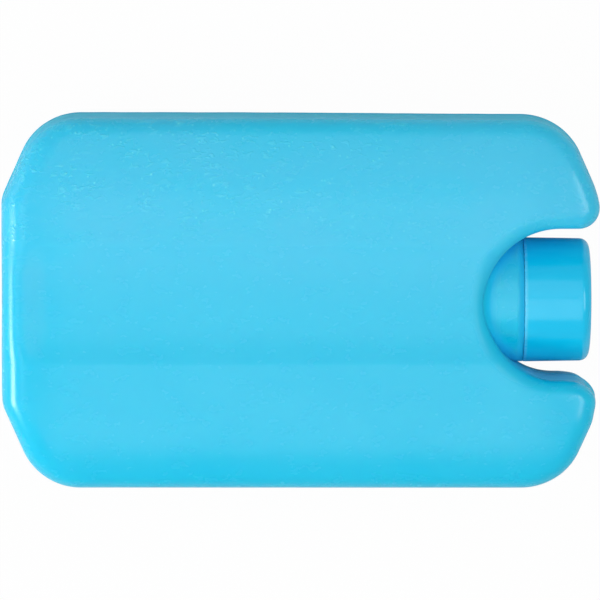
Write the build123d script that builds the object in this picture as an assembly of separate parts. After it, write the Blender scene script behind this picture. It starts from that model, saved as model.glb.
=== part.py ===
from build123d import *
import math
import os

# Reusable ice pack, lying flat: a blow-moulded bottle sold full of freezing liquid, and its press-on cap.
# Millimetres. The origin is under the middle of the pack, +X runs along it towards the cap, +Z is up.

# Bottle from above, over the bead at the parting line between the two halves of the mould
pack_length = 150.0
pack_width = 94.0
end_flat = 51.2             # straight stretch of the plain end, corner to corner
chamfer_angle = 24.0        # slant of the four cut corners, in degrees from square
corner_radius = 16.0        # where a slant meets a long side
end_radius = 8.0            # where a slant meets the plain end
nose_radius = 5.8           # the two tips beside the notch

# Bottle from the side, where its height follows from the neck
cover = 2.4                 # the faces stand this far above and below the neck
draft_angle = 1.75          # lets each half leave the mould
rim_radius = 3.6            # rounding between face and wall
seam_proud = 0.25           # bead left along the parting line
seam_thickness = 0.5

# Faces, the same above and below
flat_width = 49.0           # the face falls away outside this width
side_fall = 4.6             # how far it has fallen at a long side
end_crown_run = 24.0        # the face also falls away over this much of each end
end_fall = 2.0              # how far it has fallen at an end
channel_width = 29.5        # shallow dished channel down the middle
channel_floor = 10.0        # flat in the middle of the dish
channel_depth = 1.05
channel_lip_radius = 5.0    # where the dish meets the flat beside it

# Neck and cap, which lie in a notch in one end
cap_diameter = 31.2
cap_length = 17.1
cap_taper = 0.4             # the closed end is this much smaller across than the skirt
cap_corner_radius = 2.4
cap_dome_height = 0.65
cap_end_wall = 2.2
cap_setback = 2.2           # the closed end stays this far inside the tips
notch_gap = 2.55            # beside the cap, to the straight sides of the notch
skirt_clearance = 0.4       # least gap from the edge of the cap to the notch's round bottom
neck_root = 10.0            # how far the neck runs back inside the bottle's wall
shoulder_run = 1.1          # the neck, as wide as the cap, rounds off towards the groove over this length
shoulder_drop = 0.4
skirt_gap = 0.45            # groove between the neck's shoulder and the edge of the cap
collar_drop = 0.6           # the floor of the groove lies this far below the neck
collar_gap = 0.15           # from the collar in the groove to the edge of the cap
cap_wall = 1.7
spigot_lead = 0.8           # chamfer that lets the cap start
snap_height = 0.5           # ring that the cap snaps over
snap_width = 2.6
snap_place = 7.0            # from the shoulder to the middle of the ring
fit_gap = 0.2               # all round between spigot and cap
mouth_lead = 0.4            # chamfer inside the edge of the skirt

half_length = pack_length / 2
half_width = pack_width / 2
slant = math.tan(math.radians(chamfer_angle))
cap_radius = cap_diameter / 2
half_height = cap_radius + cover
cap_end_x = half_length - cap_setback
seat_x = cap_end_x - cap_end_wall
skirt_x = cap_end_x - cap_length
shoulder_x = skirt_x - skirt_gap
collar_end_x = skirt_x - collar_gap
collar_radius = cap_radius - collar_drop
notch_radius = cap_radius + notch_gap
notch_centre = skirt_x - skirt_clearance + math.sqrt(notch_radius**2 - cap_radius**2)
notch_bottom = notch_centre - notch_radius
wall_lean = half_height * math.tan(math.radians(draft_angle))
spigot_radius = cap_radius - cap_wall - fit_gap   # the reduced mouth that the cap is pressed over
reach = pack_length + pack_width    # longer than anything that is cut


def round_corners(plate, along, place, radius):
    """Round the corners of a flat plate that lie at one place along X or Y."""
    picked = [v for v in plate.vertices() if abs(abs(along(v)) - place) < 0.001]
    return fillet(picked, radius)


def pack_outline():
    """The bottle from above, at the bead, with the notch."""
    half_turn = math.radians((90 + chamfer_angle) / 2)
    tip_x = half_length + nose_radius * (math.tan(half_turn) - 1)
    end_y = end_flat / 2
    near_x = -half_length + (half_width - end_y) * slant
    far_x = tip_x - (half_width - notch_radius) * slant
    point_x = tip_x + notch_radius * slant
    upper = [(-half_length, end_y), (near_x, half_width), (far_x, half_width)]
    lower = [(x, -y) for x, y in reversed(upper)]
    plate = make_face(Polyline(*upper, (point_x, 0), *lower, close=True))
    plate = round_corners(plate, lambda v: v.X, half_length, end_radius)
    plate = round_corners(plate, lambda v: v.Y, half_width, corner_radius)
    notch = Pos(notch_centre, 0) * Circle(notch_radius)
    notch += Pos(notch_centre + reach / 2, 0) * Rectangle(reach, 2 * notch_radius)
    return round_corners(plate - notch, lambda v: v.X, tip_x, nose_radius)


def face_section():
    """The bottle's upper half in cross-section: dished channel, two flats, and sides that fall away."""
    floor_z = half_height - channel_depth
    flat_y = flat_width / 2
    crown_run = half_width - flat_y
    crown_radius = (crown_run**2 + side_fall**2) / (2 * side_fall)
    crown_angle = math.degrees(math.asin((crown_run + 1) / crown_radius))
    floor = Line((0, floor_z), (channel_floor / 2, floor_z))
    flank = TangentArc(floor @ 1, (channel_width / 2, half_height), tangent=(1, 0))
    flat = Line(flank @ 1, (flat_y, half_height))
    crown = JernArc(flat @ 1, (1, 0), crown_radius, -crown_angle)
    under = Polyline(crown @ 1, ((crown @ 1).X, -half_height), (0, -half_height), (0, floor_z))
    side = make_face(Curve() + [floor, flank, flat, crown, under])
    lip = side.vertices().sort_by_distance((channel_width / 2, half_height))[0]
    side = fillet(lip, channel_lip_radius)
    return Plane.YZ * (side + mirror(side, about=Plane.YZ))


def crowned_block():
    """A block whose top is the bottle's face, falling away at both ends."""
    section = face_section()
    flat_end = half_length - end_crown_run
    crown_radius = (end_crown_run**2 + end_fall**2) / (2 * end_fall)
    block = Pos(-flat_end, 0, 0) * extrude(section, 2 * flat_end, dir=(1, 0, 0))
    turn = math.degrees(math.asin((end_crown_run + 1) / (crown_radius - 2 * half_height)))
    axis = Axis((0, 0, half_height - crown_radius), (0, 1, 0))
    end = revolve(section, axis, turn)
    block += Pos(flat_end, 0, 0) * end
    block += Pos(-flat_end, 0, 0) * mirror(end, about=Plane.YZ)
    return block


def rim_edges(half, border):
    """The edges where the crowned face meets the walls, all the way round and through the notch."""
    rim = []
    for edge in half.edges():
        lowest = min((edge @ 0).Z, (edge @ 1).Z)
        middle = edge @ 0.5
        if lowest > rim_radius and border.distance_to(Vertex(middle.X, middle.Y, 0)) < wall_lean + 0.1:
            rim.append(edge)
    return rim


def moulded_half(wall_outline):
    """The bottle's body above the parting line."""
    half = extrude(wall_outline, half_height, dir=(0, 0, 1), taper=draft_angle)
    half &= crowned_block()
    tightest = nose_radius - seam_proud - wall_lean
    return fillet(rim_edges(half, wall_outline.face().outer_wire()), min(rim_radius, 0.95 * tightest))


def turned(lines):
    """A solid of revolution about X from a closed profile that touches the axis."""
    return revolve(make_face(Curve() + lines), Axis.X)


def spigot(start_x, gap):
    """The round mouth with its snap ring, from start_x to the cap's seat, grown by a gap all round."""
    radius = spigot_radius + gap
    ring_x = shoulder_x + snap_place
    before, after = (ring_x - snap_width / 2, radius), (ring_x + snap_width / 2, radius)
    return turned([
        Polyline((seat_x, 0), (start_x, 0), (start_x, radius), before),
        ThreePointArc(before, (ring_x, radius + snap_height), after),
        Polyline(after, (seat_x - spigot_lead, radius), (seat_x, radius - spigot_lead), (seat_x, 0)),
    ])


def neck():
    """The plain round neck with its shoulder, the collar in the groove, and the spigot beyond."""
    start_x = notch_bottom - neck_root
    over = (shoulder_x - shoulder_run, cap_radius)
    under = (shoulder_x, cap_radius - shoulder_drop)
    barrel = turned([
        TangentArc(over, under, tangent=(1, 0)),
        Polyline(under, (shoulder_x, collar_radius), (collar_end_x, collar_radius), (collar_end_x, 0),
                 (start_x, 0), (start_x, cap_radius), over),
    ])
    return barrel + spigot(collar_end_x, 0)


def bottle():
    """Both moulded halves, the bead between them and the neck, filled: one solid."""
    outline = pack_outline()
    upper = moulded_half(offset(outline, -seam_proud))
    bead = Pos(0, 0, -seam_thickness / 2) * extrude(outline, seam_thickness, dir=(0, 0, 1))
    whole = upper + mirror(upper, about=Plane.XY) + bead + neck()
    return Pos(0, 0, half_height) * whole


def cap():
    """A smooth press-on cup with a slightly domed end, seated on the end of the spigot."""
    edge = (cap_end_x - cap_dome_height, cap_radius - cap_taper / 2)
    dome = TangentArc((cap_end_x, 0), edge, tangent=(0, 1))
    side = Polyline(edge, (skirt_x, cap_radius), (skirt_x, 0), (cap_end_x, 0))
    profile = make_face(Curve() + [dome, side])
    corner = profile.vertices().sort_by_distance(edge)[0]
    body = revolve(fillet(corner, cap_corner_radius), Axis.X)
    body -= spigot(skirt_x, fit_gap)
    mouth = body.edges().filter_by(GeomType.CIRCLE).group_by(Axis.X)[0].sort_by(SortBy.RADIUS)[0]
    return Pos(0, 0, half_height) * chamfer(mouth, mouth_lead)


os.makedirs("parts", exist_ok=True)
for name, piece in {"bottle": bottle(), "cap": cap()}.items():
    export_step(piece, f"parts/{name}.step")
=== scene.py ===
import math

import bpy
import numpy as np
from mathutils import Matrix, Vector
from mathutils.geometry import delaunay_2d_cdt


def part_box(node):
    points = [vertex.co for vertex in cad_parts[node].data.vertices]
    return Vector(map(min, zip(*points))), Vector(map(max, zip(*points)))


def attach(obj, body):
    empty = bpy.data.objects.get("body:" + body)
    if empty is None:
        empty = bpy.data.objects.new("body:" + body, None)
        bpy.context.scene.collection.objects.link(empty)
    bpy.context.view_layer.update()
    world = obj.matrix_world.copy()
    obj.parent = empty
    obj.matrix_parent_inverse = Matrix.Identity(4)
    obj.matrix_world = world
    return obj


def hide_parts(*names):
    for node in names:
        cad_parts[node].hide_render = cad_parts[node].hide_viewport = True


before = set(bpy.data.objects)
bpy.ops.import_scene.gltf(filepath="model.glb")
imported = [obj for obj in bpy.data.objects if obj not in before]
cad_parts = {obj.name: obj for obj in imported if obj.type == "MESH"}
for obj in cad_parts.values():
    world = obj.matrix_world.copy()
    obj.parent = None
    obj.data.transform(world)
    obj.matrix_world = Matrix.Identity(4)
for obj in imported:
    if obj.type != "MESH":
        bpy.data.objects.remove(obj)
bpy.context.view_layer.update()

mm = 0.001
bottleLow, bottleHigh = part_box("bottle")
capLow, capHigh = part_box("cap")
halfLength = (bottleHigh.x - bottleLow.x) / 2
halfWidth = (bottleHigh.y - bottleLow.y) / 2
halfHeight = (bottleHigh.z - bottleLow.z) / 2
capRadius = (capHigh.z - capLow.z) / 2
midHeight = (bottleHigh.z + bottleLow.z) / 2      # the parting line, and the axis of the neck
print("frame loaded: pack", [round(2 * v / mm, 1) for v in (halfLength, halfWidth, halfHeight)], "mm")

# The blow-moulded bottle. A pair called from or until is a place, measured from the middle of the
# pack, and the length beyond it over which something comes or goes.
bottleShell = {
    "endFlat": 51.2 * mm,           # straight stretch of the plain end
    "cornerSlant": 24,              # degrees
    "cornerRadius": 16 * mm,        # where a slant meets a long side
    "endRadius": 8 * mm,            # where a slant meets the plain end
    "tipRadius": 5.8 * mm,          # the two tips beside the notch
    "notchGap": 2.55 * mm,          # beside the cap
    "skirtClearance": 0.4 * mm,     # from the edge of the cap to the notch's round bottom
    "draft": 1.75,                  # degrees
    "beadProud": 0.25 * mm,         # flash left along the parting line
    "beadHalfHeight": 0.25 * mm,
    "beadShape": ((1, 0), (0.97, 0.45), (0.8, 0.8), (0.42, 1.1), (0.12, 1.5)),     # shares out and up
    "beadFoot": 2.2,                # half heights up to the plain wall
    "beadUneven": 0.35,             # share by which the flash comes and goes
    "beadWaves": (4 * mm, 30 * mm),         # shortest and longest
    "rim": (4.2 * mm, 4.0 * mm),    # the rounded rim takes this much of the face, and of the wall
    "endRim": (6.4 * mm, 6.0 * mm),         # wider and deeper along the plain end
    "endRimFrom": (55 * mm, 14 * mm),
    "notchRim": (3.6 * mm, 3.4 * mm),       # less where the notch runs under the neck
    "rimSquare": 2.35,              # 2 is an ellipse, more is squarer with softer ends
    "faceFlat": 49 * mm,            # the face falls away outside this width
    "sideFall": 4.6 * mm,
    "endRun": 24 * mm,              # and over this much of each end
    "endFall": 2.0 * mm,
    "channelWidth": 29.5 * mm,
    "channelFloor": 10 * mm,
    "channelDepth": 1.05 * mm,
    "channelLip": 0.54 * mm,        # half the width of the rounded lip
    "channelStart": (3 * mm, 9 * mm),       # from the plain end, and the length over which it deepens
    "sink": 0.05 * mm,              # how far the wall sank in cooling
    "sinkWaves": (22 * mm, 70 * mm),
    "sinkSeed": 11,
    "tipShort": 0.75 * mm,          # one tip beside the notch is short
    "tipFrom": (capRadius, 4 * mm),
    "tipUntil": (24 * mm, 7 * mm),
    "slantFull": 0.5 * mm,          # both slants beside the notch are a little full
    "slantFrom": (24 * mm, 6 * mm),
    "tipsFrom": (45 * mm, 25 * mm),
    "notchLow": 0.5 * mm,           # one side of the notch lies low
    "notchFrom": (44 * mm, 6 * mm),
    "noseLow": 0.7 * mm,            # and its tip lower still
    "noseFrom": (66 * mm, 7 * mm),
    "lowSideFrom": (8 * mm, 7 * mm),
    "lowSideUntil": (20 * mm, 8 * mm),
    "edgeLow": 0.35 * mm,           # one long edge lies a little low towards the cap
    "edgeFrom": (-20 * mm, 80 * mm),
    "creaseShadeReach": 2.3 * mm,        # how far the painted shade, a deeper blue, beside the neck reaches
    "grooveShade": 1.4,            # more carries it further over the neck's shoulder
    "outlineStep": 0.8 * mm,        # spacing of the mesh: round the pack, on the face, on the channel's lips
    "faceStep": 0.9 * mm,
    "lipStep": 0.27 * mm,
    "lipBand": 1.4 * mm,
    "faceEdge": 0.4 * mm,           # width of the last ring, on the face
    "wallRings": 7,
    "rimRings": 14,
    "sharpFrom": 40,                # degrees between two faces that keep their edge
}


def unit(v):
    return v / np.linalg.norm(v)


def smooth(share):
    share = np.clip(share, 0, 1)
    return share * share * (3 - 2 * share)


def fade(value, start, run):
    # 0 up to the start, then smoothly up to 1 over the run
    return smooth((value - start) / run)


def notchCircle():
    # centre along X, and radius, of the notch's round bottom
    radius = capRadius + bottleShell["notchGap"]
    return capLow.x - bottleShell["skirtClearance"] + math.sqrt(radius ** 2 - capRadius ** 2), radius


def bottleCorners():
    # the outline from above as corners with their radii, anticlockwise
    shell = bottleShell
    slant = math.tan(math.radians(shell["cornerSlant"]))
    halfTurn = math.radians((90 + shell["cornerSlant"]) / 2)
    notchCentre, notchRadius = notchCircle()
    tipX = halfLength + shell["tipRadius"] * (math.tan(halfTurn) - 1)
    endY = shell["endFlat"] / 2
    nearX = -halfLength + (halfWidth - endY) * slant
    farX = tipX - (halfWidth - notchRadius) * slant
    bottomX = notchCentre - notchRadius
    lower = [(-halfLength, -endY, shell["endRadius"]), (nearX, -halfWidth, shell["cornerRadius"]),
             (farX, -halfWidth, shell["cornerRadius"]), (tipX, -notchRadius, shell["tipRadius"]),
             (bottomX, -notchRadius, notchRadius)]
    return lower + [(x, -y, r) for x, y, r in reversed(lower)]


def roundedCorner(before, corner, after):
    # start, end, centre and radius of a corner's arc, its turn, and 1 or -1 for convex or hollow
    x, y, radius = corner
    here = np.array((x, y))
    back = unit(np.array(before[:2]) - here)
    ahead = unit(np.array(after[:2]) - here)
    half = math.acos(float(np.dot(back, ahead))) / 2
    tangent = radius / math.tan(half)
    centre = here + unit(back + ahead) * radius / math.sin(half)
    side = 1 if back[0] * ahead[1] - back[1] * ahead[0] < 0 else -1
    return here + back * tangent, here + ahead * tangent, centre, radius, math.pi - 2 * half, side


def walkOutline(corners, step, fewest=6):
    # points along the outline, evenly spaced on arcs and runs, and the way inwards at each
    arcs = [roundedCorner(corners[i - 1], corner, corners[(i + 1) % len(corners)])
            for i, corner in enumerate(corners)]
    points, inward = [], []
    for i, (start, end, centre, radius, turn, side) in enumerate(arcs):
        first = math.atan2(*(start - centre)[::-1])
        count = max(fewest, math.ceil(radius * turn / step))
        for k in range(count + 1):
            angle = first + side * turn * k / count
            ray = np.array((math.cos(angle), math.sin(angle)))
            points.append(centre + radius * ray)
            inward.append(-side * ray)
        following = arcs[(i + 1) % len(arcs)][0]
        length = np.linalg.norm(following - end)
        if length > step:
            along = (following - end) / length
            count = math.ceil(length / step)
            for k in range(1, count):
                points.append(end + along * length * k / count)
                inward.append(np.array((-along[1], along[0])))
    points, inward = np.array(points), np.array(inward)
    apart = np.linalg.norm(points - np.roll(points, 1, 0), axis=1) > 1e-6       # leaves out double points
    return points[apart], inward[apart]


def slowWaves(x, y, seed, shortest, longest, count=14):
    # a smooth uneven surface from 0 to 1, the same each run
    rng = np.random.RandomState(seed)
    total = np.zeros(np.broadcast(x, y).shape)
    for _ in range(count):
        wave = 2 * math.pi / rng.uniform(shortest, longest)
        way, phase = rng.uniform(0, math.pi), rng.uniform(0, 2 * math.pi)
        total += np.sin(wave * (x * math.cos(way) + y * math.sin(way)) + phase)
    return np.clip(0.5 + total / count, 0, 1)


def crownDrop(distance, start, run, fall):
    # how far the face has fallen, on an arc that starts at a distance from its middle
    radius = (run ** 2 + fall ** 2) / (2 * fall)
    past = np.clip(np.abs(distance) - start, 0, 0.9 * radius)   # stays on the arc
    return radius - np.sqrt(radius ** 2 - past ** 2)


def channelDrop(y):
    # how deep the dished channel is: a flat floor, an arc up each side, and a rounded lip
    shell = bottleShell
    depth = shell["channelDepth"]
    run = (shell["channelWidth"] - shell["channelFloor"]) / 2
    radius = (run ** 2 + depth ** 2) / (2 * depth)
    past = np.clip(np.abs(y) - shell["channelFloor"] / 2, 0, None)
    flank = depth - radius + np.sqrt(radius ** 2 - np.clip(past, 0, run) ** 2)
    edge = run - shell["channelLip"]                            # where the rounded lip takes over
    slope = edge / math.sqrt(radius ** 2 - edge ** 2)
    height = depth - radius + math.sqrt(radius ** 2 - edge ** 2)
    reach = 2 * height / slope
    rounded = slope * np.clip(edge + reach - past, 0, None) ** 2 / (2 * reach)
    return np.where(past < edge, flank, rounded)


def faceHeight(x, y, seed):
    # of a face above the parting line
    shell = bottleShell
    height = halfHeight - channelDrop(y) * fade(x + halfLength, *shell["channelStart"])
    height -= crownDrop(y, shell["faceFlat"] / 2, halfWidth - shell["faceFlat"] / 2, shell["sideFall"])
    height -= crownDrop(x, halfLength - shell["endRun"], shell["endRun"], shell["endFall"])
    return height - shell["sink"] * slowWaves(x, y, seed, *shell["sinkWaves"])


def rimSizes(points):
    # reach and drop of the rim, which is tight at the bottom of the notch, under the neck
    shell = bottleShell
    x, y = points.T
    inNotch = (np.abs(y) < capRadius) & (x > 0) & (x < capLow.x)
    underNeck = np.where(inNotch, smooth(1 - np.abs(y) / capRadius), 0)
    atEnd = fade(-x, *shell["endRimFrom"])
    return [plain + (notch - plain) * underNeck + (end - plain) * atEnd
            for plain, notch, end in zip(shell["rim"], shell["notchRim"], shell["endRim"])]


def cooled(x, y):
    # the small ways in which the cooled bottle differs from its mould
    shell = bottleShell
    slants = fade(np.abs(y), *shell["slantFrom"])
    tip = fade(-y, *shell["tipFrom"]) * (1 - fade(-y, *shell["tipUntil"]))
    along = fade(x, *shell["tipsFrom"]) * (shell["slantFull"] * slants - shell["tipShort"] * tip)
    lowSide = fade(-y, *shell["lowSideFrom"]) * (1 - fade(-y, *shell["lowSideUntil"]))
    across = lowSide * (shell["notchLow"] * fade(x, *shell["notchFrom"])
                        + shell["noseLow"] * fade(x, *shell["noseFrom"]))
    across += shell["edgeLow"] * fade(x, *shell["edgeFrom"]) * smooth(y / halfWidth)
    return x + along, y - across


def wallRings(points, inward, seed):
    # rings of points from the parting line up the wall and over the rim, as (x, y, height)
    shell = bottleShell
    lean = math.tan(math.radians(shell["draft"]))
    reach, drop = rimSizes(points)

    def height(offset):
        at = points + inward * offset[:, None]
        return faceHeight(at[:, 0], at[:, 1], seed)

    proud, small = shell["beadProud"], 0.01 * mm
    touch = proud + halfHeight * lean + reach                   # where the rim meets the face
    slope = (height(touch + small) - height(touch - small)) / (2 * small)
    cornerHeight = (height(touch) - slope * (touch - proud)) / (1 - slope * lean)
    corner = proud + cornerHeight * lean                        # where wall and face would meet
    rings = []
    uneven = 1 - shell["beadUneven"] * slowWaves(points[:, 0], points[:, 1], seed + 3, *shell["beadWaves"])
    for share, rise in shell["beadShape"]:
        up = rise * shell["beadHalfHeight"]
        rings.append((proud - proud * share * uneven + up * lean, np.full(len(points), up)))
    foot = shell["beadFoot"] * shell["beadHalfHeight"]
    for k in range(shell["wallRings"]):
        up = foot + (cornerHeight - drop - foot) * k / shell["wallRings"]
        rings.append((proud + up * lean, up))
    power = 2 / shell["rimSquare"]
    for k in range(shell["rimRings"]):
        angle = 0.5 * math.pi * (k / (shell["rimRings"] - 1))
        alongFace, alongWall = 1 - math.cos(angle) ** power, 1 - math.sin(angle) ** power
        rings.append((corner + (touch - corner) * alongFace - drop * lean * alongWall,
                      cornerHeight + (height(touch) - cornerHeight) * alongFace - drop * alongWall))
    rings.append((touch + shell["faceEdge"], height(touch + shell["faceEdge"])))
    return [np.column_stack((points + inward * offset[:, None], up)) for offset, up in rings]


def inside(points, loop):
    # which points lie inside a closed loop
    a, b = loop, np.roll(loop, -1, 0)
    x, y = points[:, :1], points[:, 1:]
    crosses = (a[:, 1] > y) != (b[:, 1] > y)
    rise = np.where(np.abs(b[:, 1] - a[:, 1]) < 1e-12, 1e-12, b[:, 1] - a[:, 1])
    at = a[:, 0] + (y - a[:, 1]) / rise * (b[:, 0] - a[:, 0])
    return (np.sum(crosses & (x < at), axis=1) % 2) == 1


def facePoints(loop):
    # a grid over the face, closer where the channel's lips are, clear of the face's edge
    shell = bottleShell
    lip, band, step = shell["channelWidth"] / 2, shell["lipBand"], shell["faceStep"]
    ends = [-halfWidth, -lip - band, -lip + band, lip - band, lip + band, halfWidth]
    steps = [step, shell["lipStep"], step, shell["lipStep"], step]
    rows = np.concatenate([np.arange(*row) for row in zip(ends, ends[1:], steps)])
    columns = np.arange(-halfLength, halfLength, step)
    grid = np.array(np.meshgrid(columns, rows)).reshape(2, -1).T
    grid = grid[inside(grid, loop)]
    nearest = 0.55 * step
    clear = [np.min(np.sum((loop - p) ** 2, axis=1)) > nearest ** 2 for p in grid]
    return grid[np.array(clear)]


def meshFrom(name, vertices, faces):
    mesh = bpy.data.meshes.new(name)
    mesh.from_pydata([tuple(v) for v in vertices], [], faces)
    mesh.validate()
    mesh.update()
    piece = bpy.data.objects.new(name, mesh)
    bpy.context.scene.collection.objects.link(piece)
    return piece


def bottleHalf(points, inward, seed, up):
    # one moulded half: its wall and rim as rings, its face as a triangulated grid
    rings = wallRings(points, inward, seed)
    count = len(points)
    faces = []
    for row in range(len(rings) - 1):
        low, high = row * count, (row + 1) * count
        for i in range(count):
            j = (i + 1) % count
            faces.append((low + i, low + j, high + j, high + i))
    loop = rings[-1][:, :2]
    grid = facePoints(loop)
    flat = [Vector(p) for p in np.vstack((loop, grid))]
    edges = [(i, (i + 1) % count) for i in range(count)]
    made = delaunay_2d_cdt(flat, edges, [list(range(count))], 1, 1e-7)
    place = {k: old[0] for k, old in enumerate(made[3]) if old}
    start = (len(rings) - 1) * count
    faces += [tuple(start + place[k] for k in triangle) for triangle in made[2]]
    surface = np.column_stack((grid, faceHeight(grid[:, 0], grid[:, 1], seed)))
    vertices = np.vstack(rings + [surface])
    if up:
        return vertices, faces
    vertices[:, 2] *= -1
    return vertices, [face[::-1] for face in faces]


def turnedPiece(name, profile, segments, wobble):
    # a closed solid of revolution about the neck's axis, from (x, radius) points that start and end on it
    vertices, faces = [(profile[0][0], 0, midHeight)], []
    middle = profile[1:-1]
    for x, radius in middle:
        for k in range(segments):
            angle = 2 * math.pi * k / segments
            shiftX, shiftRadius = wobble(x, radius, angle)
            r = radius + shiftRadius
            vertices.append((x + shiftX, r * math.cos(angle), midHeight + r * math.sin(angle)))
    vertices.append((profile[-1][0], 0, midHeight))
    last = len(vertices) - 1
    for k in range(segments):
        after = (k + 1) % segments
        faces.append((0, 1 + after, 1 + k))
        for row in range(len(middle) - 1):
            a, b = 1 + row * segments, 1 + (row + 1) * segments
            faces.append((a + k, a + after, b + after, b + k))
        a = 1 + (len(middle) - 1) * segments
        faces.append((last, a + k, a + after))
    return meshFrom(name, vertices, faces)


def arcPoints(centre, radius, first, last, count):
    # points on an arc from one angle to another, in degrees
    angles = [math.radians(first + (last - first) * k / count) for k in range(count + 1)]
    return [(centre[0] + radius * math.cos(a), centre[1] + radius * math.sin(a)) for a in angles]


def evenly(a, b, count):
    # points between a and b, without those two
    return [(a[0] + (b[0] - a[0]) * k / count, a[1] + (b[1] - a[1]) * k / count) for k in range(1, count)]


neckTurning = {
    "shoulderRun": 1.5 * mm,        # the neck rounds off towards the groove
    "shoulderDrop": 0.55 * mm,
    "skirtGap": 0.45 * mm,          # groove between the neck's shoulder and the cap
    "collarDrop": 0.6 * mm,         # floor of the groove, below the neck
    "collarGap": 0.02 * mm,         # from the collar in the groove to the edge of the cap
    "seamFill": 0.95,               # share of the groove that the parting line fills at both sides
    "seamSharp": 8,                 # more makes that place narrower
    "rootInside": 6 * mm,           # how far the neck runs back inside the bottle's wall
    "spigotRadius": 13.7 * mm,
    "spigotLead": 0.8 * mm,
    "endWall": 2.2 * mm,            # of the cap, beyond the spigot
    "segments": 192,
    "shoulderRings": 10,
    "neckRings": 14,
}


def makeNeck():
    neck = neckTurning
    notchCentre, notchRadius = notchCircle()
    rootX = notchCentre - notchRadius - neck["rootInside"]
    shoulderX = capLow.x - neck["skirtGap"]
    collarX = capLow.x - neck["collarGap"]
    seatX = capHigh.x - neck["endWall"]
    run, drop = neck["shoulderRun"], neck["shoulderDrop"]
    bend = (run ** 2 + drop ** 2) / (2 * drop)                  # radius of the shoulder
    collarRadius = capRadius - neck["collarDrop"]
    spigotRadius, lead = neck["spigotRadius"], neck["spigotLead"]
    profile = [(seatX, 0), (seatX, spigotRadius - lead), (seatX - lead, spigotRadius),
               (collarX, spigotRadius), (collarX, collarRadius)]
    profile += arcPoints((shoulderX - run, capRadius - bend), bend,
                         90 - math.degrees(math.asin(run / bend)), 90, neck["shoulderRings"])
    profile += evenly((shoulderX - run, capRadius), (rootX, capRadius), neck["neckRings"])
    profile += [(rootX, capRadius), (rootX, 0)]

    def filled(x, radius, angle):
        inGroove = collarRadius - 0.01 * mm < radius < capRadius and x < capLow.x
        fill = neck["seamFill"] * (capRadius - radius) * math.cos(angle) ** neck["seamSharp"]
        return 0, fill if inGroove else 0

    return turnedPiece("neck", profile, neck["segments"], filled)


def join(piece, other):
    # one closed skin round both, so that nothing is left inside
    union = piece.modifiers.new("union", "BOOLEAN")
    union.operation = "UNION"
    union.solver = "MANIFOLD"
    union.object = other
    bpy.context.view_layer.update()
    whole = bpy.data.meshes.new_from_object(piece.evaluated_get(bpy.context.evaluated_depsgraph_get()))
    piece.modifiers.clear()
    piece.data = whole
    bpy.data.objects.remove(other)


def markCreaseShade(mesh):
    # how near each point is to where the neck leaves the notch, or to the neck's groove: the mask for the
    # painted crease shade, which is also duller
    notchCentre, notchRadius = notchCircle()
    places = np.zeros(3 * len(mesh.vertices))
    mesh.vertices.foreach_get("co", places)
    x, y, z = places.reshape(-1, 3).T
    toNeck = np.clip(np.hypot(y, z - midHeight) - capRadius, 0, None)
    toWall = np.abs(notchRadius - np.hypot(np.minimum(x, notchCentre) - notchCentre, y))
    share = smooth(1 - (toNeck + toWall) / bottleShell["creaseShadeReach"])
    toGroove = np.abs(x - capLow.x + neckTurning["skirtGap"] / 2)
    inGroove = (toNeck == 0) & (toGroove < neckTurning["shoulderRun"])
    grooveShare = smooth(bottleShell["grooveShade"] - toGroove / neckTurning["shoulderRun"])
    share = np.maximum(share, inGroove * grooveShare)
    share *= x < capLow.x
    mesh.attributes.new("creaseShade", "FLOAT", "POINT").data.foreach_set("value", share.astype(np.float32))


def makeBottle():
    shell = bottleShell
    points, inward = walkOutline(bottleCorners(), shell["outlineStep"])
    upper, upperFaces = bottleHalf(points, inward, shell["sinkSeed"], True)
    lower, lowerFaces = bottleHalf(points, inward, shell["sinkSeed"] + 1, False)
    count = len(points)                     # the first ring is shared, at the parting line
    lowerIds = np.concatenate((np.arange(count), np.arange(count, len(lower)) - count + len(upper)))
    faces = upperFaces + [tuple(int(lowerIds[k]) for k in face) for face in lowerFaces]
    vertices = np.vstack((upper, lower[count:]))
    vertices[:, 0], vertices[:, 1] = cooled(vertices[:, 0], vertices[:, 1])
    vertices[:, 2] += midHeight
    bottle = meshFrom("bottleShell", vertices, faces)
    join(bottle, makeNeck())
    markCreaseShade(bottle.data)
    print("bottle:", len(bottle.data.polygons), "faces")
    return bottle


capMoulding = {
    "taper": 0.2 * mm,              # the closed end is this much smaller in radius
    "cornerRadius": 2.4 * mm,
    "cornerForward": 0.25 * mm,     # the corner stands this far into the dome
    "cornerUntil": 4,               # the corner stops this many degrees early, where the dome takes over
    "dome": 0.65 * mm,
    "endWall": 2.2 * mm,
    "wall": 1.7 * mm,
    "edgeRadius": 0.3 * mm,
    "mouthLead": 0.4 * mm,
    "nickDeep": 0.16 * mm,          # the edge of the skirt is ragged by about this much
    "nickUneven": 1.6,
    "nickReach": 0.45 * mm,
    "nickAlong": 0.9,               # share of a nick along the cap
    "nickIn": 0.3,                  # and into it
    "slow": (6, 2, 9, 0.4),         # waves round the cap: how many, fewest and most in a turn, weakest
    "nicks": (16, 9, 70, 0.2),
    "sink": 0.02 * mm,
    "seed": 5,
    "segments": 320,
    "boreRings": 8,
    "edgeRings": 6,
    "sideRings": 26,
    "cornerRings": 14,
    "domeRings": 12,
    "domeBlend": 4,                 # the corner runs into the dome over this many rings
    "sharpFrom": 50,                # degrees between two faces that keep their edge
}


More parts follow.
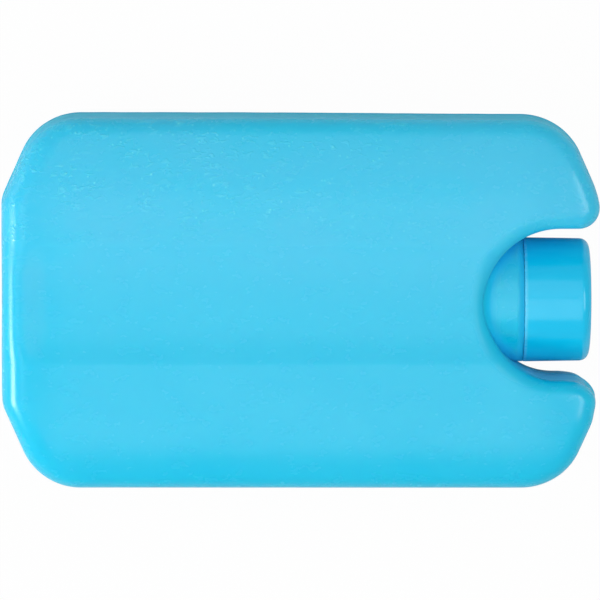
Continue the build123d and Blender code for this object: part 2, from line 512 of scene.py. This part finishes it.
def capProfile():
    # from the seat inside the cap along its bore, round the edge of the skirt and over the closed end
    mould = capMoulding
    skirtX, endX = capLow.x, capHigh.x
    seatX = endX - mould["endWall"]
    inner, lead = capRadius - mould["wall"], mould["mouthLead"]
    profile = [(seatX, 0), (seatX, inner / 2), (seatX, inner)]
    profile += evenly((seatX, inner), (skirtX + lead, inner), mould["boreRings"])
    profile += [(skirtX + lead, inner), (skirtX, inner + lead)]
    edge = mould["edgeRadius"]
    profile += arcPoints((skirtX + edge, capRadius - edge), edge, 180, 90, mould["edgeRings"])
    lean = math.degrees(mould["taper"] / (endX - skirtX))
    endRadius = capRadius - mould["taper"]
    bend = mould["cornerRadius"]
    centre = (endX - mould["dome"] - bend + mould["cornerForward"], endRadius - bend)
    corner = arcPoints(centre, bend, 90 - lean, mould["cornerUntil"], mould["cornerRings"])
    profile += evenly((skirtX + edge, capRadius), corner[0], mould["sideRings"]) + corner
    domeRadius = (endRadius ** 2 + mould["dome"] ** 2) / (2 * mould["dome"])
    startX, startRadius = corner[-1]
    for k in range(1, mould["domeRings"] + 1):
        radius = startRadius * (1 - k / mould["domeRings"])
        x = endX - (domeRadius - math.sqrt(domeRadius ** 2 - radius ** 2))
        profile.append((startX + (x - startX) * min(1, k / mould["domeBlend"]), radius))
    return profile


def ringWaves(rng, count, fewest, most, weakest):
    # waves round the cap: how many in a turn, where each starts, and its strength
    turn = 6.28                                                 # radians
    return [(rng.randint(fewest, most), rng.uniform(0, turn), rng.uniform(weakest, 1)) for _ in range(count)]


def waveAt(waves, angle):
    return sum(strength * math.sin(number * angle + start) for number, start, strength in waves) / len(waves)


def makeCap():
    mould = capMoulding
    rng = np.random.RandomState(mould["seed"])
    slow = ringWaves(rng, *mould["slow"])
    nicks = ringWaves(rng, *mould["nicks"])
    seatX = capHigh.x - mould["endWall"]

    def uneven(x, radius, angle):
        if radius < capRadius - mould["wall"] / 2 and x < seatX:
            return 0, 0                                         # the bore stays true
        edge = math.exp(-((x - capLow.x) / mould["nickReach"]) ** 2)
        nick = max(0, mould["nickDeep"] * (0.5 + mould["nickUneven"] * waveAt(nicks, angle)) * edge)
        sunk = mould["sink"] * (0.5 + 0.5 * waveAt(slow, angle))
        return nick * mould["nickAlong"], -sunk - mould["nickIn"] * nick

    cap = turnedPiece("capMoulding", capProfile(), mould["segments"], uneven)
    print("cap:", len(cap.data.polygons), "faces")
    return cap


def finishSurface(piece, sharpAngle):
    # smooth all over but for true edges
    mesh = piece.data
    mesh.polygons.foreach_set("use_smooth", [True] * len(mesh.polygons))
    mesh.set_sharp_from_angle(angle=math.radians(sharpAngle))
    mesh.update()


def placeOver(piece, node, material):
    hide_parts(node)
    piece.data.materials.clear()
    piece.data.materials.append(material)
    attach(piece, "root")
    print(piece.name, "stands for", node, "in", material.name)


class Finish:
    # one plastic, put together from nodes
    def __init__(self, name, look):
        self.material = bpy.data.materials.new(name)
        self.material.use_nodes = True
        self.nodes, self.links = self.material.node_tree.nodes, self.material.node_tree.links
        self.nodes.clear()
        self.shader = self.nodes.new("ShaderNodeBsdfPrincipled")
        self.shader.inputs["IOR"].default_value = look["ior"]
        output = self.nodes.new("ShaderNodeOutputMaterial")
        self.links.new(self.shader.outputs["BSDF"], output.inputs["Surface"])
        self.place = self.nodes.new("ShaderNodeTexCoord").outputs["Object"]
        apart = self.nodes.new("ShaderNodeSeparateXYZ")
        self.links.new(self.place, apart.inputs[0])
        self.x, self.y, self.z = apart.outputs

    def give(self, colour, dull, normal):
        for name, value in (("Base Color", colour), ("Roughness", dull), ("Normal", normal)):
            self.links.new(value, self.shader.inputs[name])

    def put(self, socket, value):
        if isinstance(value, bpy.types.NodeSocket):
            self.links.new(value, socket)
        else:
            socket.default_value = value

    def maths(self, kind, first, second=0.0, third=0.0):
        # one step of arithmetic
        node = self.nodes.new("ShaderNodeMath")
        node.operation = kind
        for socket, value in zip(node.inputs, (first, second, third)):
            self.put(socket, value)
        return node.outputs[0]

    def times(self, first, second):
        return self.maths("MULTIPLY", first, second)

    def stretched(self, sizes):
        # the place on the piece, measured in patches of these sizes
        node = self.nodes.new("ShaderNodeVectorMath")
        node.operation = "DIVIDE"
        self.links.new(self.place, node.inputs[0])
        node.inputs[1].default_value = sizes
        return node.outputs[0]

    def noise(self, sizes, detail=2.0, bend=0.0):
        node = self.nodes.new("ShaderNodeTexNoise")
        self.links.new(self.stretched(sizes), node.inputs["Vector"])
        node.inputs["Scale"].default_value = 1.0
        node.inputs["Detail"].default_value = detail
        node.inputs["Distortion"].default_value = bend
        return node.outputs[0]

    def ramp(self, value, low, high, start=0.0, end=1.0):
        node = self.nodes.new("ShaderNodeMapRange")
        node.interpolation_type = "SMOOTHSTEP"
        self.put(node.inputs[0], value)
        for k, number in enumerate((low, high, start, end)):
            node.inputs[k + 1].default_value = number
        return node.outputs[0]

    def mix(self, share, first, second):
        # the sockets are those that the node has for colours
        node = self.nodes.new("ShaderNodeMix")
        node.data_type = "RGBA"
        self.put(node.inputs[0], share)
        self.put(node.inputs[6], first)
        self.put(node.inputs[7], second)
        return node.outputs[2]

    def spots(self, size, radius, share, shuffle=7.3):
        # round spots, far apart, of which only a share is there, picked by each one's random colour
        node = self.nodes.new("ShaderNodeTexVoronoi")
        self.links.new(self.stretched((size, size, size)), node.inputs["Vector"])
        node.inputs["Scale"].default_value = 1.0
        spot = self.ramp(node.outputs["Distance"], 0.0, radius, 1.0, 0.0)
        apart = self.nodes.new("ShaderNodeSeparateColor")
        self.links.new(node.outputs["Color"], apart.inputs[0])
        picked = self.maths("LESS_THAN", self.maths("FRACT", self.times(apart.outputs[0], shuffle)), share)
        return self.times(spot, picked)

    def bump(self, height, depth, under=None):
        node = self.nodes.new("ShaderNodeBump")
        node.inputs["Strength"].default_value = 1.0
        node.inputs["Distance"].default_value = depth
        self.put(node.inputs["Height"], height)
        if under:
            self.links.new(under, node.inputs["Normal"])
        return node.outputs[0]

    def attribute(self, name):
        node = self.nodes.new("ShaderNodeAttribute")
        node.attribute_name = name
        return node.outputs["Fac"]


# The finish of each plastic. Colours are for a plain white light. A patch is the size of a noise's
# cells along X, Y and Z, and what shows of it grows from nothing to its full share between two values.
bottlePlastic = {
    "ior": 1.52,
    "colour": (0.037, 0.592, 0.862, 1),
    "lessSheenSide": (0.000, 0.590, 0.858, 1),       # painted shade: less red on the -Y side, standing in for the weaker sheen there
    "lessSheenAcross": (-7 * mm, 19 * mm),       # turning into the plain colour between these
    "cloud": (0.012, 0.606, 0.868, 1),      # clearer where the wall is thinner
    "cloudPatch": (30 * mm, 20 * mm, 20 * mm),
    "cloudShows": (0.35, 0.68),
    "cloudShare": 0.6,
    "creaseShade": (0.000, 0.550, 0.920, 1),     # painted shade: deeper blue beside the neck
    "seam": (0.018, 0.420, 0.690, 1),       # darker along the parting line
    "seamReach": (0.2 * mm, 0.75 * mm),
    "seamShare": 0.75,
    "scuff": (0.034, 0.620, 0.872, 1),      # faint long scuffs
    "scuffPatch": (9 * mm, 0.8 * mm, 3 * mm),
    "scuffShows": (0.62, 0.80),
    "scuffShare": 0.30,
    "paintedWallReflection": (0.220, 0.640, 0.860, 1),     # painted reflection: the walls beside the cap paler, as if the pale floor showed in them
    "wallReflectionAcross": (20 * mm, 21 * mm),
    "wallReflectionAlong": (53 * mm, 58 * mm),
    "wallReflectionShare": 0.6,
    "roughness": (0.21, 0.29),
    "roughPatch": (3.5 * mm, 2.5 * mm, 2.5 * mm),
    "roughShows": (0.25, 0.75),
    "wallTop": (9.5 * mm, 12.5 * mm),       # from the parting line: the wall turns into the face
    "wallDull": 0.42,                       # the walls, the crease and the notch's rim are this much duller
    "dullRing": (-1 * mm, 0, 1 * mm, 5 * mm),       # from the notch's bottom: start, full, fading, end
    "dullRingEnd": 4 * mm,                  # it ends over this length before and past the cap's edge
    "grainFrom": 14.9 * mm,                 # the mould is grained from here to the long side
    "grainFade": 2.2 * mm,
    "grainRim": (10 * mm, 12 * mm),         # from the parting line: the grain gets its full strength
    "grainOnWall": 0.15,
    "grainPatch": (9 * mm, 6 * mm, 8 * mm),
    "grainShows": (0.38, 0.62),
    "grainLeast": 0.15,
    "grainWorn": (1.25, 0.35),              # strength at the plain end, and at the cap's
    "grainHigh": 0.054 * mm,
    "strokeLong": 2.0 * mm,
    "strokeWide": 1.1 * mm,
    "strokeShows": (0.54, 0.68),
    "pitApart": 1.9 * mm,
    "pitRadius": 0.25,                      # share of the distance apart
    "pitShare": 0.60,
    "glint": (0.120, 0.780, 0.960, 1),      # strokes and pits catch more light
    "strokeGlint": 0.28,
    "pitGlint": 0.90,
    "peelApart": 1.1 * mm,
    "peelHigh": 0.004 * mm,
    "spread": 0.4,                          # share of the light that spreads inside the plastic
    "spreadDepth": 4 * mm,
    "spreadColours": (0.4, 0.8, 1.0),       # red goes least deep
}


def bottleGrain(finish, fromSeam):
    # short strokes and small pits, and how strong they are: patchy, and worn towards the cap
    look = bottlePlastic
    side = finish.ramp(finish.y, look["grainFrom"], look["grainFrom"] + look["grainFade"])
    side = finish.times(side, finish.ramp(fromSeam, *look["grainRim"], look["grainOnWall"], 1.0))
    patchy = finish.ramp(finish.noise(look["grainPatch"]), *look["grainShows"], look["grainLeast"], 1.0)
    worn = finish.ramp(finish.x, -halfLength, halfLength, *look["grainWorn"])
    strength = finish.times(finish.times(side, patchy), worn)
    strokes = finish.noise((look["strokeLong"], look["strokeWide"], look["strokeWide"]), detail=1.0, bend=0.8)
    strokes = finish.ramp(strokes, *look["strokeShows"])
    pits = finish.spots(look["pitApart"], look["pitRadius"], look["pitShare"])
    return strokes, pits, strength


def bottleColour(finish, fromSeam, wall, glint):
    look = bottlePlastic
    # painted shade: the -Y side gets less red, as if it caught less sheen
    colour = finish.mix(finish.ramp(finish.y, *look["lessSheenAcross"]), look["lessSheenSide"], look["colour"])
    clouds = finish.noise(look["cloudPatch"], detail=3.0, bend=0.4)
    clouds = finish.ramp(clouds, *look["cloudShows"], 0.0, look["cloudShare"])
    colour = finish.mix(clouds, colour, look["cloud"])
    scuffs = finish.noise(look["scuffPatch"], detail=4.0, bend=0.8)
    scuffs = finish.ramp(scuffs, *look["scuffShows"], 0.0, look["scuffShare"])
    colour = finish.mix(scuffs, colour, look["scuff"])
    colour = finish.mix(glint, colour, look["glint"])
    # painted reflection: the notch's walls beside the cap paler, as if the pale floor showed in them
    across = finish.maths("ABSOLUTE", finish.y)
    wallReflectionMask = finish.ramp(across, *look["wallReflectionAcross"], look["wallReflectionShare"], 0.0)
    wallReflectionMask = finish.times(wallReflectionMask, finish.ramp(finish.x, *look["wallReflectionAlong"]))
    colour = finish.mix(finish.times(wallReflectionMask, wall), colour, look["paintedWallReflection"])
    nearSeam = finish.ramp(fromSeam, *look["seamReach"], look["seamShare"], 0.0)
    colour = finish.mix(nearSeam, colour, look["seam"])
    # painted shade: deeper blue in the crease beside the neck and in its groove
    return finish.mix(finish.attribute("creaseShade"), colour, look["creaseShade"])


def notchRing(finish):
    # 1 along the rim round the notch's bottom, and 0 elsewhere
    look = bottlePlastic
    notchCentre, notchRadius = notchCircle()
    start, full, fading, end = [notchRadius + distance for distance in look["dullRing"]]
    along = finish.maths("SUBTRACT", finish.x, notchCentre)
    fromCentre = finish.maths("MULTIPLY_ADD", along, along, finish.times(finish.y, finish.y))
    fromCentre = finish.maths("SQRT", fromCentre)
    ring = finish.times(finish.ramp(fromCentre, start, full), finish.ramp(fromCentre, fading, end, 1.0, 0.0))
    low, high = capLow.x - look["dullRingEnd"], capLow.x + look["dullRingEnd"]
    return finish.times(ring, finish.ramp(finish.x, low, high, 1.0, 0.0))


def makeBottlePlastic():
    look = bottlePlastic
    finish = Finish("skyBluePolyethylene", look)
    fromSeam = finish.maths("ABSOLUTE", finish.maths("SUBTRACT", finish.z, midHeight))
    wall = finish.ramp(fromSeam, *look["wallTop"], 1.0, 0.0)
    strokes, pits, strength = bottleGrain(finish, fromSeam)
    grain = finish.times(finish.maths("ADD", strokes, pits), strength)
    peel = finish.noise((look["peelApart"],) * 3, detail=3.0)
    normal = finish.bump(grain, look["grainHigh"], finish.bump(peel, look["peelHigh"]))

    glint = finish.times(pits, look["pitGlint"])
    glint = finish.maths("MULTIPLY_ADD", strokes, look["strokeGlint"], glint)
    colour = bottleColour(finish, fromSeam, wall, finish.times(glint, strength))

    dull = finish.noise(look["roughPatch"], detail=5.0)
    dull = finish.ramp(dull, *look["roughShows"], *look["roughness"])
    for share in (wall, finish.attribute("creaseShade"), notchRing(finish)):
        dull = finish.maths("MULTIPLY_ADD", share, look["wallDull"], dull)
    finish.give(colour, dull, normal)

    # light that spreads a little way inside the plastic
    finish.shader.inputs["Subsurface Weight"].default_value = look["spread"]
    finish.shader.inputs["Subsurface Radius"].default_value = look["spreadColours"]
    finish.shader.inputs["Subsurface Scale"].default_value = look["spreadDepth"]
    return finish.material


capPlastic = {
    "ior": 1.52,
    "colour": (0.000, 0.580, 0.915, 1),
    "flow": (0.004, 0.595, 0.925, 1),       # faint streaks from moulding
    "flowPatch": (14 * mm, 3 * mm, 3 * mm),
    "flowShows": (0.40, 0.70),
    "flashHighlight": (0.110, 0.640, 0.950, 1),      # painted highlight: paler along the thin, ragged edge of the skirt
    "flashHighlightReach": (0.25 * mm, 1.10 * mm),
    "flashHighlightPatch": (2 * mm, 0.9 * mm, 0.9 * mm),
    "flashHighlightShows": (0.30, 0.62),
    "flashHighlightLeast": 0.3,
    "roughness": (0.14, 0.22),
    "roughPatch": (5 * mm, 4 * mm, 4 * mm),
    "roughShows": (0.25, 0.75),
    "wavePatch": (9.6 * mm, 6 * mm, 6 * mm),
    "waveHigh": 0.030 * mm,
    "peelApart": 0.8 * mm,
    "peelHigh": 0.003 * mm,
}


def makeCapPlastic():
    look = capPlastic
    finish = Finish("capPolyethylene", look)
    waves = finish.noise(look["wavePatch"])
    peel = finish.noise((look["peelApart"],) * 3, detail=3.0)
    normal = finish.bump(peel, look["peelHigh"], finish.bump(waves, look["waveHigh"]))

    flow = finish.ramp(finish.noise(look["flowPatch"], detail=3.0, bend=0.6), *look["flowShows"])
    colour = finish.mix(flow, look["colour"], look["flow"])
    # painted highlight: paler along the ragged edge of the skirt
    fromEdge = finish.maths("SUBTRACT", finish.x, capLow.x)
    ragged = finish.noise(look["flashHighlightPatch"], detail=4.0)
    ragged = finish.ramp(ragged, *look["flashHighlightShows"], look["flashHighlightLeast"], 1.0)
    flashHighlight = finish.times(finish.ramp(fromEdge, *look["flashHighlightReach"], 1.0, 0.0), ragged)
    colour = finish.mix(flashHighlight, colour, look["flashHighlight"])

    dull = finish.noise(look["roughPatch"], detail=5.0)
    finish.give(colour, finish.ramp(dull, *look["roughShows"], *look["roughness"]), normal)
    return finish.material


studio = {
    "floorSize": 8.0,
    "floorColour": (0.74, 0.74, 0.74),
    "floorSeen": 0.975,             # share of plain white that the camera sees in the floor
    "room": 0.56,
    "roomBehind": 0.42,             # darker behind the pack
    "roomFade": (0.35, 0.85),       # from the first to the second, between these shares of the way back
}

# Soft lamps round the pack: where each stands, its size, and its power
lamps = {
    "overheadLeft": {"at": (-0.45, -0.06, 0.71), "size": (0.42, 0.24), "power": 0.36},
    "overheadMiddle": {"at": (0.0, -0.19, 0.80), "size": (0.46, 0.58), "power": 1.06},
    "overheadRight": {"at": (0.45, 0.04, 0.71), "size": (0.42, 0.24), "power": 1.20},
    "overheadBack": {"at": (0.0, 0.33, 0.76), "size": (0.46, 0.45), "power": 0.50},
    "leftKey": {"at": (-0.62, -0.155, 0.28), "size": (0.20, 0.17), "power": 1.90},
    "leftLow": {"at": (-0.66, 0.10, 0.14), "size": (0.40, 0.14), "power": 0.32},
}


def makeFloor():
    half = studio["floorSize"] / 2
    corners = [(-half, -half, 0), (half, -half, 0), (half, half, 0), (-half, half, 0)]
    floor = meshFrom("floor", corners, [(0, 1, 2, 3)])
    material = bpy.data.materials.new("paleFloor")
    material.use_nodes = True
    nodes, links = material.node_tree.nodes, material.node_tree.links
    nodes.clear()
    ray = nodes.new("ShaderNodeLightPath")
    seen = nodes.new("ShaderNodeMath")
    seen.operation = "MULTIPLY"
    seen.inputs[1].default_value = studio["floorSeen"]
    plain = nodes.new("ShaderNodeBsdfDiffuse")
    plain.inputs["Color"].default_value = (*studio["floorColour"], 1)
    white = nodes.new("ShaderNodeEmission")
    mix = nodes.new("ShaderNodeMixShader")
    output = nodes.new("ShaderNodeOutputMaterial")
    links.new(ray.outputs["Is Camera Ray"], seen.inputs[0])
    links.new(seen.outputs[0], mix.inputs[0])
    links.new(plain.outputs[0], mix.inputs[1])
    links.new(white.outputs[0], mix.inputs[2])
    links.new(mix.outputs[0], output.inputs["Surface"])
    floor.data.materials.append(material)


def makeRoom():
    world = bpy.data.worlds.new("paleRoom")
    bpy.context.scene.world = world
    world.use_nodes = True
    nodes, links = world.node_tree.nodes, world.node_tree.links
    nodes.clear()
    ray = nodes.new("ShaderNodeLightPath")
    way = nodes.new("ShaderNodeTexCoord")
    apart = nodes.new("ShaderNodeSeparateXYZ")
    strength = nodes.new("ShaderNodeMapRange")
    strength.interpolation_type = "SMOOTHSTEP"
    for k, number in enumerate((*studio["roomFade"], studio["room"], studio["roomBehind"])):
        strength.inputs[k + 1].default_value = number
    dim = nodes.new("ShaderNodeBackground")
    white = nodes.new("ShaderNodeBackground")
    mix = nodes.new("ShaderNodeMixShader")
    output = nodes.new("ShaderNodeOutputWorld")
    links.new(way.outputs["Generated"], apart.inputs[0])
    links.new(apart.outputs["Y"], strength.inputs[0])
    links.new(strength.outputs[0], dim.inputs["Strength"])
    links.new(ray.outputs["Is Camera Ray"], mix.inputs[0])
    links.new(dim.outputs[0], mix.inputs[1])
    links.new(white.outputs[0], mix.inputs[2])
    links.new(mix.outputs[0], output.inputs["Surface"])


def makeLamps():
    middle = Vector((0, 0, midHeight))
    for name, lamp in lamps.items():
        light = bpy.data.lights.new(name, "AREA")
        light.shape = "RECTANGLE"
        light.size, light.size_y = lamp["size"]
        light.energy = lamp["power"]
        holder = bpy.data.objects.new(name, light)
        holder.location = lamp["at"]
        holder.rotation_mode = "QUATERNION"
        holder.rotation_quaternion = (middle - Vector(lamp["at"])).to_track_quat("-Z", "Y")
        holder.visible_camera = False
        bpy.context.scene.collection.objects.link(holder)


# The camera stands over the pack, a little towards its +Y side, with a long lens
photoCamera = {
    "target": (-0.066 * mm, -0.217 * mm),   # the point it looks at, as high as the parting line
    "distance": 1.4,
    "tilt": 4.8,                    # degrees towards +Y
    "lean": 0.532,                  # degrees about Y
    "turn": -0.033,                 # degrees in the picture
    "lensPixels": 5573.1,           # focal length in pixels of the picture
    "pictureWidth": 600,
    "sensor": 36.0,                 # millimetres, as the lens is
    "clip": (0.05, 20),
}


def makeCamera():
    setup = photoCamera
    camera = bpy.data.cameras.new("photoCamera")
    camera.sensor_width = setup["sensor"]
    camera.lens = setup["sensor"] * setup["lensPixels"] / setup["pictureWidth"]
    camera.clip_start, camera.clip_end = setup["clip"]
    holder = bpy.data.objects.new("photoCamera", camera)
    turn, lean, tilt = [Matrix.Rotation(math.radians(setup[name]), 3, axis)
                        for name, axis in (("turn", "Z"), ("lean", "Y"), ("tilt", "X"))]
    facing = (turn @ lean @ tilt).transposed()
    place = Vector((*setup["target"], midHeight)) + facing @ Vector((0, 0, setup["distance"]))
    holder.matrix_world = Matrix.Translation(place) @ facing.to_4x4()
    bpy.context.scene.collection.objects.link(holder)
    bpy.context.scene.camera = holder


bottle = makeBottle()
finishSurface(bottle, bottleShell["sharpFrom"])
placeOver(bottle, "bottle", makeBottlePlastic())
cap = makeCap()
finishSurface(cap, capMoulding["sharpFrom"])
placeOver(cap, "cap", makeCapPlastic())
makeFloor()
makeRoom()
makeLamps()
makeCamera()
bpy.context.scene.view_settings.view_transform = "Standard"
print("floor, room, lamps and camera in place")

bpy.context.view_layer.update()
